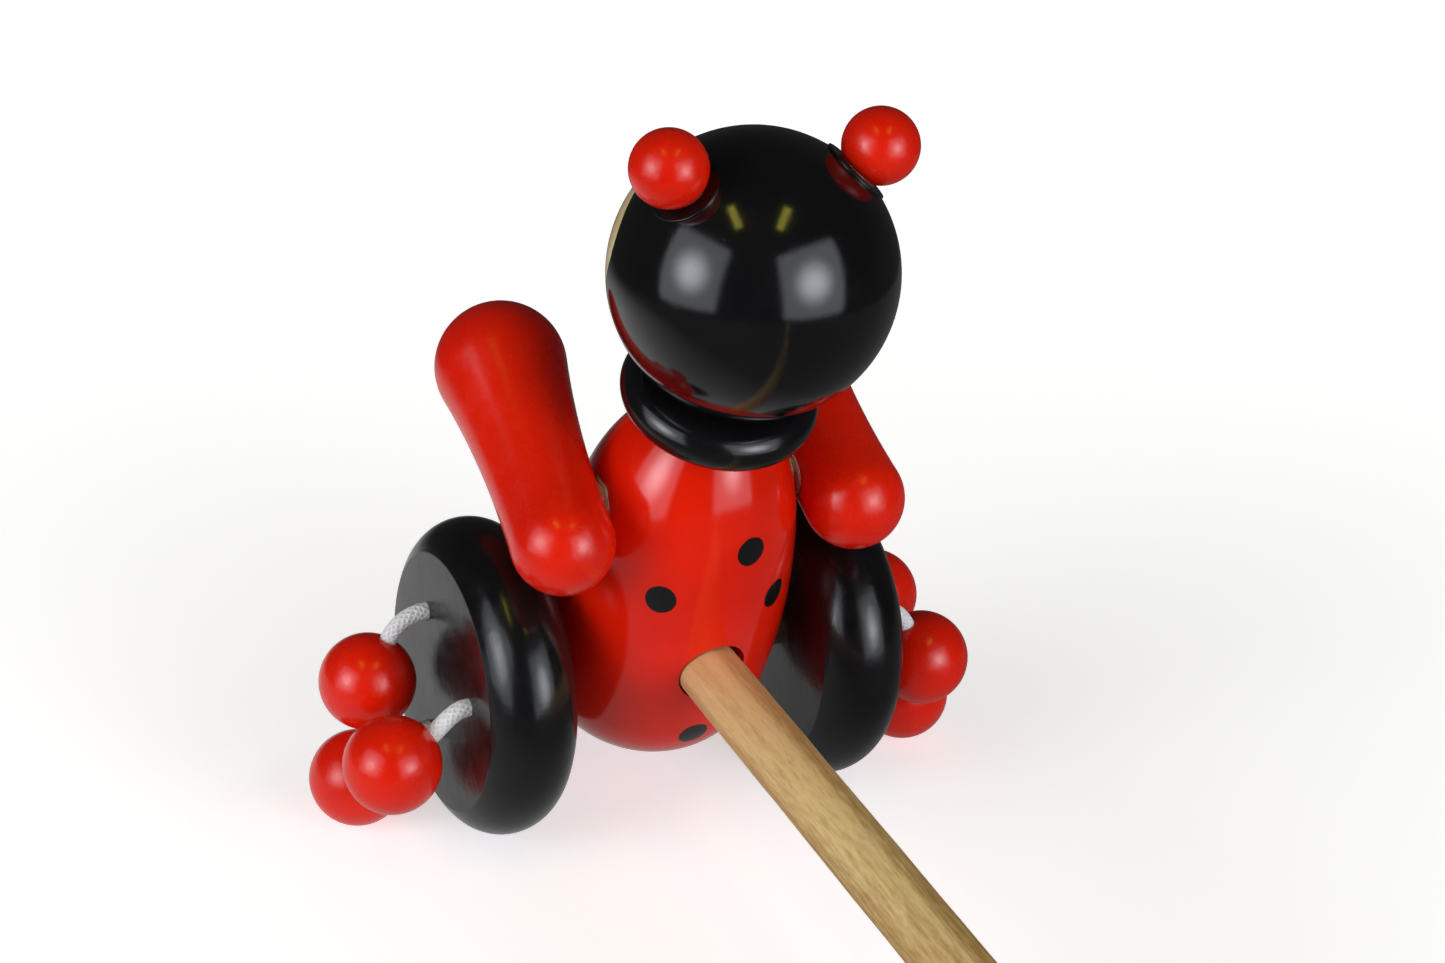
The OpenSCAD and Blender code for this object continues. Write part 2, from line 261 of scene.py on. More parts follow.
class Finish:
    """A material with short calls for its nodes."""

    def __init__(self, name):
        self.material = bpy.data.materials.new(name)
        self.material.use_nodes = True
        self.tree = self.material.node_tree
        self.shader = self.tree.nodes["Principled BSDF"]
        self.place = self.node("ShaderNodeTexCoord").outputs["Object"]

    def node(self, kind, **settings):
        made = self.tree.nodes.new(kind)
        for key, value in settings.items():
            setattr(made, key, value)
        return made

    def link(self, source, target):
        self.tree.links.new(source, target)

    def feed(self, socket, value):
        if isinstance(value, bpy.types.NodeSocket):
            self.link(value, socket)
        else:
            socket.default_value = value

    def maths(self, kind, a, b=0.0, c=0.0):
        made = self.node("ShaderNodeMath", operation=kind)
        for socket, value in zip(made.inputs, (a, b, c)):
            self.feed(socket, value)
        return made.outputs[0]

    def vector(self, kind, a, b=(0, 0, 0), scale=1.0):
        made = self.node("ShaderNodeVectorMath", operation=kind)
        self.feed(made.inputs[0], a)
        self.feed(made.inputs[1], b)
        made.inputs[3].default_value = scale
        return made.outputs["Value" if kind in ("DISTANCE", "LENGTH", "DOT_PRODUCT") else "Vector"]

    def noise(self, at, scale, detail=3.0, roughness=0.5):
        made = self.node("ShaderNodeTexNoise")
        self.feed(made.inputs["Vector"], at)
        made.inputs["Scale"].default_value = scale
        made.inputs["Detail"].default_value = detail
        made.inputs["Roughness"].default_value = roughness
        return made.outputs["Fac"]

    def spread(self, value, low, high, to_low=0.0, to_high=1.0):
        """Maps a value from one range to another, held at its ends."""
        made = self.node("ShaderNodeMapRange", interpolation_type="SMOOTHSTEP")
        for socket, number in zip(made.inputs, (value, low, high, to_low, to_high)):
            self.feed(socket, number)
        return made.outputs[0]

    def mix(self, share, a, b):
        made = self.node("ShaderNodeMix", data_type="RGBA")
        self.feed(made.inputs["Factor"], share)
        self.feed(made.inputs[6], a)
        self.feed(made.inputs[7], b)
        return made.outputs[2]

    def bump(self, height, depth):
        """Raises the surface by height, from 0 to 1, times depth in metres."""
        made = self.node("ShaderNodeBump")
        made.inputs["Strength"].default_value = 1.0
        made.inputs["Distance"].default_value = depth
        self.link(height, made.inputs["Height"])
        self.link(made.outputs["Normal"], self.shader.inputs["Normal"])
        self.raised = made

    def set(self, **sockets):
        for key, value in sockets.items():
            self.feed(self.shader.inputs[key.replace("_", " ")], value)
        return self.material


def lacquer(name, colour, deeper, roughness=0.16, peel=0.00005, gloss=0.35, specular=0.35):
    """Sprayed lacquer over turned wood, with uneven depth of colour, orange peel and specks of dust."""
    look = Finish(name)
    cloud = look.noise(look.place, 55, 4)
    peel_fine = look.noise(look.place, 650, 2, 0.6)
    peel_broad = look.noise(look.place, 130, 3)
    dust = look.spread(look.noise(look.place, 1500, 1), 0.74, 0.80)
    height = look.maths("ADD", look.maths("MULTIPLY", peel_fine, 0.25), peel_broad)
    height = look.maths("MULTIPLY_ADD", dust, 0.35, height)
    look.bump(height, peel)
    wear = look.noise(look.place, 240, 3)
    look.set(Base_Color=look.mix(look.spread(cloud, 0.3, 0.7), deeper, colour),
             Roughness=look.spread(wear, 0.3, 0.7, roughness * 0.85, roughness * 1.25))
    look.set(Specular_IOR_Level=specular, Coat_Weight=gloss, Coat_Roughness=0.11, Coat_IOR=1.45)
    return look


RED = (0.84, 0.0135, 0.0008, 1)
DEEP_RED = (0.73, 0.0100, 0.0006, 1)
BLACK = (0.0036, 0.0036, 0.0042, 1)
SOFT_BLACK = (0.0060, 0.0058, 0.0064, 1)

axle_low, axle_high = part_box("axle")
AXLE = (axle_low + axle_high) / 2
head_low, head_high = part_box("head")
HEAD_R = (head_high.x - head_low.x) / 2
HEAD = Vector((0, (head_low.y + head_high.y) / 2, head_high.z - HEAD_R))
LEAN = atan2(HEAD.y, HEAD.z - AXLE.z)
UPRIGHT = Matrix.Translation(AXLE) @ Matrix.Rotation(-LEAN, 4, "X")

WAIST_R, WAIST_Z = 25, 14
BOTTOM_R, BOTTOM_Z, TOP_Z = 20, -17.7, 68.7
SIDE_FALL, NECK_FALL, NECK_R = 10.3, 5.8, 45
SIDE_R = ((TOP_Z - WAIST_Z) ** 2 + SIDE_FALL ** 2) / (2 * SIDE_FALL)
SIDE_X = WAIST_R - SIDE_R
BLEND = degrees(asin((WAIST_Z - BOTTOM_Z - BOTTOM_R) / (SIDE_R - BOTTOM_R)))
BOTTOM_X = SIDE_X + (SIDE_R - BOTTOM_R) * cos(radians(BLEND))
# The neck's curve touches the side curve from inside and ends at the edge of the flat top
top_edge = Vector((WAIST_R - SIDE_FALL - NECK_FALL - SIDE_X, TOP_Z - WAIST_Z))
neck_along = ((SIDE_R - NECK_R) ** 2 - NECK_R ** 2 + top_edge.length ** 2) / (2 * top_edge.length)
neck_across = sqrt((SIDE_R - NECK_R) ** 2 - neck_along ** 2)
inwards = Vector((top_edge.y, -top_edge.x)).normalized()
neck_mid = neck_along * top_edge.normalized() + neck_across * inwards
NECK_X, NECK_Z = SIDE_X + neck_mid.x, WAIST_Z + neck_mid.y
neck_start = degrees(atan2(neck_mid.y, neck_mid.x))
neck_end = degrees(asin((TOP_Z - NECK_Z) / NECK_R))
NECK_BLEND_Z = WAIST_Z + SIDE_R * sin(radians(neck_start))


def body_radius(z):
    if z > NECK_BLEND_Z:
        return NECK_X + sqrt(NECK_R ** 2 - (z - NECK_Z) ** 2)
    return SIDE_X + sqrt(SIDE_R ** 2 - (z - WAIST_Z) ** 2)


body_outline = [(0, BOTTOM_Z), (BOTTOM_X * 0.6, BOTTOM_Z)]
body_outline += arc(BOTTOM_X, BOTTOM_Z + BOTTOM_R, BOTTOM_R, -90, -BLEND, 28)
body_outline += arc(SIDE_X, WAIST_Z, SIDE_R, -BLEND, neck_start, 44)[1:]
body_outline += arc(NECK_X, NECK_Z, NECK_R, neck_start, neck_end, 24)[1:] + [(0, TOP_Z)]

STICK_R, STICK_OUT, STICK_IN, STICK_END_ROUND = 6.4, 455, 20, 2.5
STICK_Y, STICK_Z = 20.1, 17.4
STICK_RISE = radians(16.1)
STICK_PLACE = UPRIGHT @ Matrix.Translation((0, STICK_Y * MM, STICK_Z * MM))
STICK_PLACE = STICK_PLACE @ Matrix.Rotation(STICK_RISE - pi / 2, 4, "X")
HOLE_R, HOLE_SHIFT = 7.2, 0.5
hole_outline = [(0, -STICK_IN), (HOLE_R, -STICK_IN), (HOLE_R, 30), (0, 30)]
bore_outline = [(0, -40), (4.08, -40), (4.08, 40), (0, 40)]
ACROSS = Matrix.Rotation(pi / 2, 4, "Y")

SPOT_R = 3.15
# Each spot's degrees round from the rear, and its height
SPOTS = [(-10.5, 48.8), (33.9, 37.4), (-31.7, 34.7), (-1.2, -0.5)]

red_body = lacquer("red_lacquer_spotted", RED, DEEP_RED, roughness=0.13, peel=0.00003, gloss=0.35)
nearest = 1.0
wobble = red_body.noise(red_body.place, 380, 2)
for turn, height in SPOTS:
    reach = body_radius(height) * MM
    middle = UPRIGHT @ Vector((reach * sin(radians(turn)), reach * cos(radians(turn)), height * MM))
    away = red_body.vector("DISTANCE", red_body.place, tuple(middle))
    nearest = red_body.maths("MINIMUM", nearest, away)
edge = red_body.maths("MULTIPLY_ADD", wobble, 0.35 * MM, nearest)
spot = red_body.spread(edge, (SPOT_R + 0.10) * MM, (SPOT_R + 0.28) * MM, 1.0, 0.0)
plain_red = red_body.shader.inputs["Base Color"].links[0].from_socket
red_body.set(Base_Color=red_body.mix(spot, plain_red, SOFT_BLACK))

body = finished("turned_body", turned_mesh(body_outline, UPRIGHT, 160), red_body.material, "toy")
shift = Matrix.Translation((-HOLE_SHIFT * MM, 0, 0))
drilled(body, [turned_mesh(hole_outline, shift @ STICK_PLACE, 96),
               turned_mesh(bore_outline, Matrix.Translation(AXLE) @ ACROSS, 64)])
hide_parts("body")


# --- Collar and head -----------------------------------------------------------------------
# The collar is a thick turned ring with a full round edge, dished to seat the ball of the head.
# Both are dipped black. The face is left as bare wood, with eyes, cheeks and a smile painted on.

COLLAR_R, COLLAR_T = 19.7, 9
DISH_MID = (HEAD - AXLE).length / MM
head_r = HEAD_R / MM
dish_x = sqrt(head_r ** 2 - (DISH_MID - TOP_Z - COLLAR_T) ** 2)
dish_turn = degrees(acos(dish_x / head_r))
half = COLLAR_T / 2
collar_outline = [(4.2, TOP_Z)] + arc(COLLAR_R - half, TOP_Z + half, half, -90, 82, 24)
collar_outline += arc(0, DISH_MID, head_r + 0.05, -dish_turn + 0.5, -86, 14)
black_collar = lacquer("black_lacquer_collar", BLACK, SOFT_BLACK, roughness=0.16, peel=0.00006, gloss=0.3)
collar = finished("dished_collar", turned_mesh(collar_outline, UPRIGHT), black_collar.material, "toy", 50)
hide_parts("collar")

black_head = lacquer("black_lacquer_head_and_face", BLACK, SOFT_BLACK, roughness=0.12, peel=0.00004, gloss=0.4)
look = black_head
centred = look.vector("SUBTRACT", look.place, tuple(HEAD))
upright = look.node("ShaderNodeVectorRotate", rotation_type="X_AXIS")
look.link(centred, upright.inputs["Vector"])
upright.inputs["Angle"].default_value = LEAN
unit_place = look.vector("SCALE", upright.outputs[0], scale=1 / HEAD_R)
split = look.node("ShaderNodeSeparateXYZ")
look.link(unit_place, split.inputs[0])
across, back, high = split.outputs
above = look.maths("MAXIMUM", high, 0.0)
below = look.maths("MINIMUM", high, 0.0)
hairline = look.maths("MULTIPLY_ADD", look.maths("MULTIPLY", above, above), 1.3, 0.245)
hairline = look.maths("MULTIPLY_ADD", look.maths("MULTIPLY", below, below), 0.2, hairline)
front = look.maths("MULTIPLY", back, -1.0)
brushed = look.maths("MULTIPLY_ADD", look.noise(look.place, 300, 2), 0.012, hairline)
bare = look.spread(look.maths("SUBTRACT", front, brushed), 0.0, 0.006)

grain_place = look.vector("MULTIPLY", unit_place, (1.0, 1.0, 0.10))
grain = look.noise(grain_place, 14, 5, 0.6)
bare_wood = look.mix(look.spread(grain, 0.35, 0.66), (0.84, 0.60, 0.28, 1), (0.97, 0.80, 0.48, 1))


def painted(under, colour, middle, size, edge=0.02, level=1.0):
    """A dab of paint on the face: middle across and up, and its size, in head radii."""
    offset = look.vector("SUBTRACT", unit_place, (middle[0], 0, middle[1]))
    flat = look.vector("MULTIPLY", offset, (1 / size[0], 0, 1 / size[1]))
    cover = look.spread(look.vector("LENGTH", flat), 1 - edge, 1 + edge, level, 0.0)
    return look.mix(cover, under, colour)


EYE_SIDE, EYE_UP = 0.27, 0.13
for side in (1, -1):
    bare_wood = painted(bare_wood, (0.80, 0.16, 0.10, 1), (side * 0.52, -0.17), (0.16, 0.13), 0.6, 0.75)
    bare_wood = painted(bare_wood, (0.010, 0.009, 0.009, 1), (side * EYE_SIDE, EYE_UP), (0.075, 0.105))
    glint = (side * EYE_SIDE - 0.022, EYE_UP + 0.035)
    bare_wood = painted(bare_wood, (0.9, 0.9, 0.88, 1), glint, (0.022, 0.028))
bare_wood = painted(bare_wood, (0.45, 0.02, 0.01, 1), (0, -0.09), (0.05, 0.045))
smile_from = look.vector("MULTIPLY", look.vector("SUBTRACT", unit_place, (0, 0, -0.06)), (1, 0, 1))
smile_r = look.vector("LENGTH", smile_from)
ring = look.spread(look.maths("ABSOLUTE", look.maths("SUBTRACT", smile_r, 0.32)), 0.012, 0.018, 1.0, 0.0)
lower = look.spread(high, -0.24, -0.22, 1.0, 0.0)
bare_wood = look.mix(look.maths("MULTIPLY", ring, lower), bare_wood, (0.45, 0.02, 0.01, 1))
plain_black = look.shader.inputs["Base Color"].links[0].from_socket
look.set(Base_Color=look.mix(bare, plain_black, bare_wood))

head_outline = arc(0, 0, head_r, -90, 90, 80)
HEAD_PLACE = Matrix.Translation(HEAD) @ Matrix.Rotation(-LEAN, 4, "X")
head = finished("ball_head", turned_mesh(head_outline, HEAD_PLACE, 160), black_head.material, "toy")
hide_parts("head")


# --- Antennae ------------------------------------------------------------------------------
# Each antenna is a small red ball pegged and glued onto a thin black wooden disc, which stands
# a little proud of the head. Clear glue has squeezed out in a narrow ring under the ball.

SIDES = {"left": 1, "right": -1}
WASHER_R, WASHER_T = 7.2, 1.5
WASHER_TOP = head_r - 0.4
red_small = lacquer("red_lacquer_small_parts", RED, DEEP_RED, roughness=0.24, peel=0.00012, gloss=0.15)
black_small = lacquer("black_lacquer_discs", BLACK, SOFT_BLACK, roughness=0.22, peel=0.00007, gloss=0.2)

clear_glue = Finish("clear_glue")
clear_glue.bump(clear_glue.noise(clear_glue.place, 900, 2), 0.00008)
cloudy = clear_glue.noise(clear_glue.place, 700, 2)
clear_glue.set(Base_Color=clear_glue.mix(cloudy, (0.95, 0.86, 0.84, 1), (1, 0.97, 0.96, 1)))
clear_glue.set(Roughness=0.08, Transmission_Weight=0.92, IOR=1.47)

for name in SIDES:
    low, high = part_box("antenna_ball_" + name)
    ball_middle = (low + high) / 2
    ball_r = (high.x - low.x) / 2 / MM
    out = (ball_middle - HEAD).normalized()
    seat = Matrix.Translation(HEAD) @ out.to_track_quat("Z", "Y").to_matrix().to_4x4()
    reach = (ball_middle - HEAD).length / MM
    ball = finished("antenna_ball_painted_" + name,
                    turned_mesh(arc(0, reach, ball_r, -90, 90, 48), seat, 96), red_small.material, "toy")
    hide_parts("antenna_ball_" + name)
    seat_x = sqrt(ball_r ** 2 - (reach - WASHER_TOP) ** 2)
    rim = 0.2
    disc_outline = [(2.2, WASHER_TOP - WASHER_T), (WASHER_R, WASHER_TOP - WASHER_T)]
    disc_outline += arc(WASHER_R - rim, WASHER_TOP - rim, rim, 0, 90, 6)
    disc_outline += [(seat_x + 0.2, WASHER_TOP), (seat_x - 0.1, WASHER_TOP - 0.15)]
    disc_outline += [(2.2, WASHER_TOP - 1.15)]
    disc = finished("antenna_disc_" + name, turned_mesh(disc_outline, seat, 96), black_small.material, "toy")
    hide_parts("antenna_washer_" + name)
    glue_outline = arc(seat_x + 0.25, WASHER_TOP + 0.14, 0.2, 180, -180, 14)
    glue = finished("antenna_glue_" + name, turned_mesh(glue_outline, seat, 72), clear_glue.material, "toy")


# --- Arms ----------------------------------------------------------------------------------
# Each arm is turned as a long pear with a slight hollow along it, sprayed red, and glued to the
# body on a short dowel. A bead of clear glue shows where it meets the body.

ARM_REAR_R, ARM_FRONT_R, ARM_SPAN, ARM_HOLLOW = 10.4, 13.4, 44.9, 200
SHOULDER_Z, SHOULDER_BACK, SHOULDER_GAP = 48.6, 9.5, 0.3
ARM_RISE, ARM_TOE_IN = radians(7), radians(3.5)
to_rear, to_front = ARM_HOLLOW + ARM_REAR_R, ARM_HOLLOW + ARM_FRONT_R
hollow_z = (ARM_SPAN ** 2 + to_rear ** 2 - to_front ** 2) / (2 * ARM_SPAN)
hollow_x = sqrt(to_rear ** 2 - hollow_z ** 2)
rear_touch = degrees(atan2(hollow_z, hollow_x))
front_touch = degrees(atan2(hollow_z - ARM_SPAN, hollow_x))
arm_outline = arc(0, 0, ARM_REAR_R, -90, rear_touch, 32)
arm_outline += arc(hollow_x, hollow_z, ARM_HOLLOW, 180 + rear_touch, 180 + front_touch, 24)[1:]
arm_outline += arc(0, ARM_SPAN, ARM_FRONT_R, front_touch, 90, 32)[1:]
arm_r = hollow_x - sqrt(ARM_HOLLOW ** 2 - (SHOULDER_BACK - hollow_z) ** 2)
SHOULDER_X = body_radius(SHOULDER_Z) + arm_r + SHOULDER_GAP

for name, side in SIDES.items():
    place = UPRIGHT @ Matrix.Translation((side * SHOULDER_X * MM, 0, SHOULDER_Z * MM))
    place = place @ Matrix.Rotation(-side * ARM_TOE_IN, 4, "Z") @ Matrix.Rotation(pi / 2 - ARM_RISE, 4, "X")
    place = place @ Matrix.Translation((0, 0, -SHOULDER_BACK * MM))
    arm = finished("arm_painted_" + name, turned_mesh(arm_outline, place, 128), red_small.material, "toy")
    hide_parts("arm_" + name)
    joint = bmesh.new()
    bmesh.ops.create_uvsphere(joint, u_segments=48, v_segments=24, radius=1.0)
    meet = (body_radius(SHOULDER_Z) + SHOULDER_GAP / 2) * side * MM
    spot_place = UPRIGHT @ Matrix.Translation((meet, 0, (SHOULDER_Z - 0.3) * MM))
    spot_place = spot_place @ Matrix.Diagonal((0.0008, 0.0058, 0.0046, 1))
    bmesh.ops.transform(joint, matrix=spot_place, verts=joint.verts)
    glue = finished("shoulder_glue_" + name, joint, clear_glue.material, "toy")


# --- Stick ---------------------------------------------------------------------------------
# The stick is a plain sanded dowel, pushed and glued into the back of the body. It is bare pale
# wood with long brown streaks, and its far end is sawn off and rounded over.

stick_wood = Finish("bare_stick_wood")
look = stick_wood
along = look.node("ShaderNodeMapping", vector_type="TEXTURE")
along.inputs["Location"].default_value = STICK_PLACE.to_translation()
along.inputs["Rotation"].default_value = STICK_PLACE.to_euler()
look.link(look.place, along.inputs["Vector"])
local = along.outputs[0]
bend = look.vector("MULTIPLY", local, (1, 1, 0.03))
warp = look.node("ShaderNodeTexNoise")
look.link(bend, warp.inputs["Vector"])
warp.inputs["Scale"].default_value = 130
drift = look.vector("SCALE", look.vector("SUBTRACT", warp.outputs["Color"], (0.5, 0.5, 0.5)), scale=0.004)
streak_place = look.vector("ADD", look.vector("MULTIPLY", local, (1, 1, 0.022)), drift)
streaks = look.noise(streak_place, 420, 5, 0.62)
broad = look.noise(look.vector("MULTIPLY", local, (1, 1, 0.05)), 110, 3)
fibre = look.noise(look.vector("MULTIPLY", local, (1, 1, 0.07)), 2400, 3, 0.7)
flecks = look.noise(look.vector("MULTIPLY", local, (1, 1, 0.16)), 1300, 2, 0.6)
tone = look.maths("MULTIPLY_ADD", broad, 0.60, look.maths("MULTIPLY", streaks, 0.55))
tone = look.maths("MULTIPLY_ADD", look.maths("SUBTRACT", flecks, 0.5), 0.35, tone)
wood = look.mix(look.spread(tone, 0.42, 0.76), (0.47, 0.255, 0.070, 1), (0.88, 0.64, 0.285, 1))
pores = look.spread(fibre, 0.56, 0.70, 0.0, 0.50)
wood = look.mix(pores, wood, (0.40, 0.20, 0.065, 1))
length_split = look.node("ShaderNodeSeparateXYZ")
look.link(local, length_split.inputs[0])
# Towards the hole the wood is painted redder: a painted glow of red light bounced from the body, fading out
# along the stick
painted_red_bounce_near_hole = look.spread(length_split.outputs[2], 0.0, 0.075, 0.55, 0.0)
wood = look.mix(painted_red_bounce_near_hole, wood, (0.72, 0.33, 0.16, 1))
look.bump(look.maths("MULTIPLY_ADD", streaks, 0.5, fibre), 0.00010)
look.set(Base_Color=wood, Roughness=look.spread(streaks, 0.3, 0.7, 0.48, 0.62))
look.set(Specular_IOR_Level=0.35)

end_x = STICK_R - STICK_END_ROUND
stick_outline = [(0, -STICK_IN + 0.5), (STICK_R - 0.6, -STICK_IN + 0.5), (STICK_R, -STICK_IN + 1.1)]
SECTIONS = 60
straight_length = STICK_OUT - STICK_END_ROUND + STICK_IN - 4
stick_outline += [(STICK_R - 0.05 + 0.05 * sin(i * 1.7) * sin(i * 0.61),
                   -STICK_IN + 3 + straight_length * i / SECTIONS) for i in range(SECTIONS)]
stick_outline += arc(end_x, STICK_OUT - STICK_END_ROUND, STICK_END_ROUND, 0, 90, 10) + [(0, STICK_OUT)]
stick = finished("dowel_stick", turned_mesh(stick_outline, STICK_PLACE, 72), stick_wood.material, "toy")
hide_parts("stick")


# --- Axle and dowels -----------------------------------------------------------------------
# The wheels share one birch axle, which turns in the body. The neck, arms and antennae are held
# by short dowels of the same birch, which are out of sight once the toy is glued together.

birch = Finish("birch_dowel")
look = birch
cross_grain = look.vector("MULTIPLY", look.place, (0.08, 1, 1))
rings = look.noise(cross_grain, 900, 4, 0.6)
look.bump(rings, 0.00006)
look.set(Base_Color=look.mix(look.spread(rings, 0.35, 0.65), (0.46, 0.30, 0.14, 1), (0.72, 0.55, 0.33, 1)),
         Roughness=look.spread(rings, 0.3, 0.7, 0.5, 0.65))
hidden = ["neck_dowel"] + [kind + name for name in SIDES for kind in ("antenna_peg_", "shoulder_peg_")]
for node in ["axle"] + hidden:
    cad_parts[node].data.materials.clear()
    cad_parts[node].data.materials.append(birch.material)


# --- Wheels --------------------------------------------------------------------------------
# Each wheel is a thick turned disc with a round tread and a crisp edge where it meets the flat
# outer face. It is lacquered black, and three holes in that face take the cords of its beads.

TREAD_R, WHEEL_EDGE = 10.1, 0.35
CORD_RING, CORD_HOLE_R = 15, 1.85
FIRST_HOLE = {"left": 127, "right": 149}
AXLE_HOLE_R, AXLE_GRIP = 4, 11

wheel_finish = {}
for name in SIDES:
    look = lacquer("black_lacquer_wheel_" + name, BLACK, (0.0075, 0.0073, 0.008, 1),
                   roughness=0.20, peel=0.00010, gloss=0.15)
    hub = look.vector("SUBTRACT", look.place, tuple(AXLE))
    flat = look.vector("MULTIPLY", hub, (0, 1, 1))
    ring_place = look.node("ShaderNodeCombineXYZ")
    look.link(look.vector("LENGTH", flat), ring_place.inputs[0])
    turning = look.noise(ring_place.outputs[0], 1800, 3, 0.7)
    peel = look.raised.inputs["Height"].links[0].from_socket
    look.link(look.maths("MULTIPLY_ADD", turning, 0.35, peel), look.raised.inputs["Height"])
    wheel_finish[name] = look.material

for name, side in SIDES.items():
    low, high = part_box("wheel_" + name)
    wheel_r = (high.z - low.z) / 2 / MM
    wheel_w = (high.x - low.x) / MM
    middle = (low + high) / 2
    face = wheel_w / 2
    tread_x = wheel_r - TREAD_R
    tread_turn = degrees(asin((face - WHEEL_EDGE * 0.6) / TREAD_R))
    face_r = tread_x + TREAD_R * cos(radians(tread_turn))
    outline = [(0, -face), (face_r - WHEEL_EDGE * 1.6, -face)]
    outline += [(face_r - WHEEL_EDGE * 0.7, -face + WHEEL_EDGE * 0.12)]
    outline += arc(tread_x, 0, TREAD_R, -tread_turn, tread_turn, 64)
    outline += [(face_r - WHEEL_EDGE * 0.7, face - WHEEL_EDGE * 0.12)]
    outline += [(face_r - WHEEL_EDGE * 1.6, face), (20, face), (10, face), (0, face)]
    outwards = Matrix.Rotation(side * pi / 2, 4, "Y")
    place = Matrix.Translation(middle) @ outwards
    wheel = finished("wheel_turned_" + name, turned_mesh(outline, place, 192), wheel_finish[name],
                     "wheelset", 30)
    drills = []
    for i in range(3):
        turn = radians(FIRST_HOLE[name] - 120 * i)
        ring_r = CORD_RING * MM
        hole = Matrix.Translation((middle.x, ring_r * cos(turn), middle.z + ring_r * sin(turn)))
        drill = [(0, face - 13.3), (CORD_HOLE_R, face - 13.3)]
        drill += arc(CORD_HOLE_R + 0.5, face - 0.4, 0.5, 180, 110, 5)
        drill += [(CORD_HOLE_R + 0.5, face + 1), (0, face + 1)]
        drills.append(turned_mesh(drill, hole @ outwards, 48))
    socket = [(0, -face - 1), (AXLE_HOLE_R, -face - 1)]
    socket += [(AXLE_HOLE_R, -face + AXLE_GRIP), (0, -face + AXLE_GRIP)]
    drills.append(turned_mesh(socket, place, 64))
    drilled(wheel, drills)
    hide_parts("wheel_" + name)


# --- Beads and cords -----------------------------------------------------------------------
# Three beads hang from each wheel on short lengths of soft braided cotton, each glued into a hole
# in the wheel's face and into its bead. They keep hanging down as the wheel carries them round.

CORD_R, CORD_STARTS = 1.7, [(-13, 0), (-6, 0), (0, 0)]
# Points out from the wheel's face and up from the hole, to the middle of each bead
CORD_ROUTES = {
    "left": [[(2.3, -0.3), (4.5, -1.2), (6.4, -2.7), (8, -4.9), (10, -9), (12.5, -14)],
             [(2, -0.3), (4, -1.5), (5.8, -3.1), (7.6, -4.7), (11.4, -7.2), (16, -10)],
             [(2, -0.2), (4, -1), (6, -2.3), (7.8, -3.5), (11, -5.5), (15.5, -8.5)]],
    "right": [[(2.3, -0.3), (4.5, -1.2), (6.5, -2.7), (8, -4.2), (10.5, -7.3), (14, -11.5)],
              [(2.3, -0.3), (4.5, -1.2), (6.4, -2.7), (8, -4.9), (10, -8.7), (12.5, -13.5)],
              [(2, -0.2), (4, -1), (6, -2.2), (8, -3.3), (12, -5.2), (16.5, -7.5)]],
}
# Radians of pattern that the strands cross in each millimetre
BRAID_TURN = 2.1
STEPS_PER_SPAN = 14

cotton = Finish("braided_cotton")
look = cotton
fluff = look.noise(look.place, 2600, 4, 0.7)
thread = look.noise(look.place, 900, 3)
hollow = look.node("ShaderNodeAttribute", attribute_name="strand").outputs["Fac"]
# The braid is painted grey in its grooves and white on its strand tops: painted shade in the hollows between
# the strands, mixed with the thread's own uneven tone
thread_tone_and_groove_shade = look.maths("MULTIPLY_ADD", look.spread(thread, 0.3, 0.7), 0.25, look.maths("MULTIPLY", hollow, 0.75))
look.bump(look.maths("MULTIPLY_ADD", fluff, 0.6, thread), 0.00022)
look.set(Base_Color=look.mix(thread_tone_and_groove_shade, (0.66, 0.65, 0.70, 1), (0.97, 0.965, 0.98, 1)), Roughness=0.92)
look.set(Sheen_Weight=0.4, Sheen_Roughness=0.6, Specular_IOR_Level=0.15)


def smooth_route(points):
    """A curve through the points, by Catmull and Rom's rule."""
    ends = [2 * points[0] - points[1]] + points + [2 * points[-1] - points[-2]]
    route = []
    for a, b, c, d in zip(ends, ends[1:], ends[2:], ends[3:]):
        for i in range(STEPS_PER_SPAN):
            t = i / STEPS_PER_SPAN
            route.append(0.5 * (2 * b + (c - a) * t + (2 * a - 5 * b + 4 * c - d) * t * t
                                + (3 * b - a - 3 * c + d) * t * t * t))
    return route + [points[-1]]


def strand_height(turn, along):
    """How far the braid stands out, from 0 in its grooves to 1 on its strands."""
    one = abs(cos(4 * turn + along * BRAID_TURN))
    other = abs(cos(4 * turn - along * BRAID_TURN))
    return max(one, other) ** 1.5


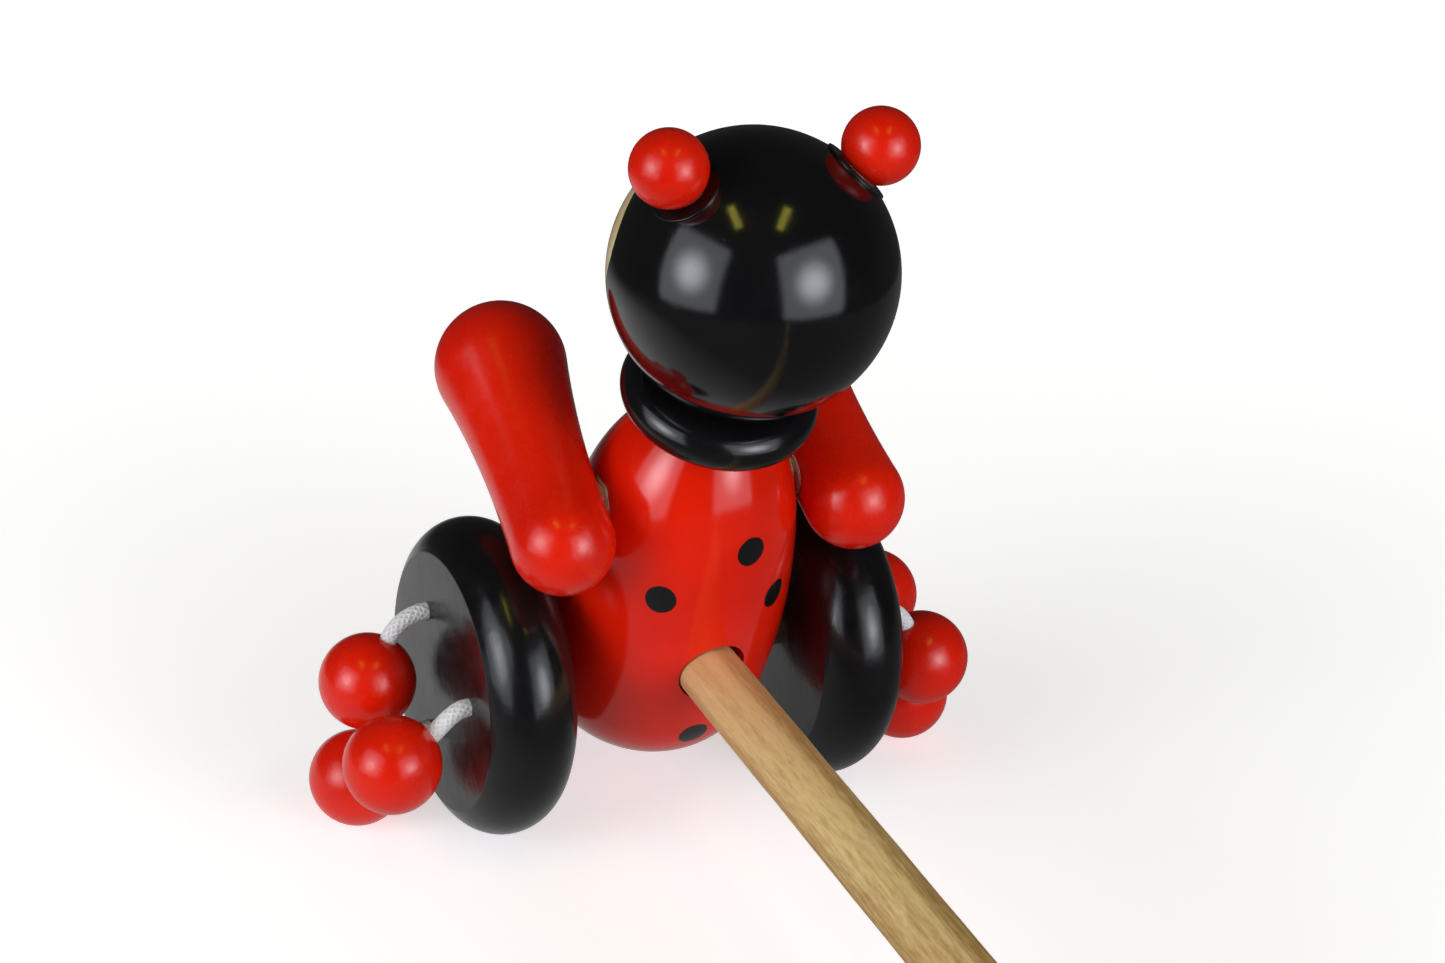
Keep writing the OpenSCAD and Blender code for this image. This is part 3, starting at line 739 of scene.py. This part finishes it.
def braided(name, route, body):
    """A cord of crossing strands swept along a route."""
    sides = 48
    shape = bmesh.new()
    raised = shape.verts.layers.float.new("strand")
    loops, travelled = [], 0.0
    for k, point in enumerate(route):
        ahead, behind = route[min(k + 1, len(route) - 1)], route[max(k - 1, 0)]
        travelled += (point - route[k - 1]).length / MM if k else 0.0
        heading = (ahead - behind).normalized()
        second = heading.cross(Vector((0, 1, 0))).normalized()
        ring = bmesh.ops.create_circle(shape, cap_ends=False, segments=sides, radius=1.0)["verts"]
        for vert in ring:
            turn = atan2(vert.co.y, vert.co.x)
            up = strand_height(turn, travelled)
            out = CORD_R * (0.92 + 0.15 * up) * MM
            vert[raised] = up
            vert.co = point + out * (cos(turn) * Vector((0, 1, 0)) + sin(turn) * second)
        shape.edges.ensure_lookup_table()
        loop = [e for e in shape.edges if e.verts[0] in ring and e.verts[1] in ring]
        loops.append(loop)
        if k:
            bmesh.ops.bridge_loops(shape, edges=loops[k - 1] + loops[k])
    for loop in (loops[0], loops[-1]):
        bmesh.ops.edgeloop_fill(shape, edges=loop)
    bmesh.ops.recalc_face_normals(shape, faces=shape.faces)
    return finished(name, shape, cotton.material, body, 80)


for name, side in SIDES.items():
    low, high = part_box("wheel_" + name)
    face_x = high.x if side > 0 else low.x
    for i, route in enumerate(CORD_ROUTES[name]):
        label = name + "_" + str(i + 1)
        turn = radians(FIRST_HOLE[name] - 120 * i)
        leaves = Vector((face_x, CORD_RING * MM * cos(turn), AXLE.z + CORD_RING * MM * sin(turn)))
        points = [leaves + Vector((side * x * MM, 0, z * MM)) for x, z in CORD_STARTS + route]
        path = smooth_route(points)
        cord = braided("cord_braided_" + label, path, "bead_" + label)
        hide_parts("cord_" + label)
        low_b, high_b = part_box("bead_" + label)
        bead_r = (high_b.x - low_b.x) / 2 / MM
        hole_r = CORD_R + 0.14
        rim = 0.45
        rim_turn = degrees(acos((hole_r + rim) / (bead_r - rim)))
        outline = arc(0, 0, bead_r, -90, rim_turn, 60)
        outline += arc(hole_r + rim, (bead_r - rim) * sin(radians(rim_turn)), rim, rim_turn, 180, 8)
        outline += [(hole_r, 0), (0, 0)]
        toward = (points[-2] - points[-1]).to_track_quat("Z", "Y").to_matrix().to_4x4()
        shape = turned_mesh(outline, Matrix.Translation(points[-1]) @ toward, 96)
        bead = finished("bead_painted_" + label, shape, red_small.material, "bead_" + label)
        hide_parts("bead_" + label)
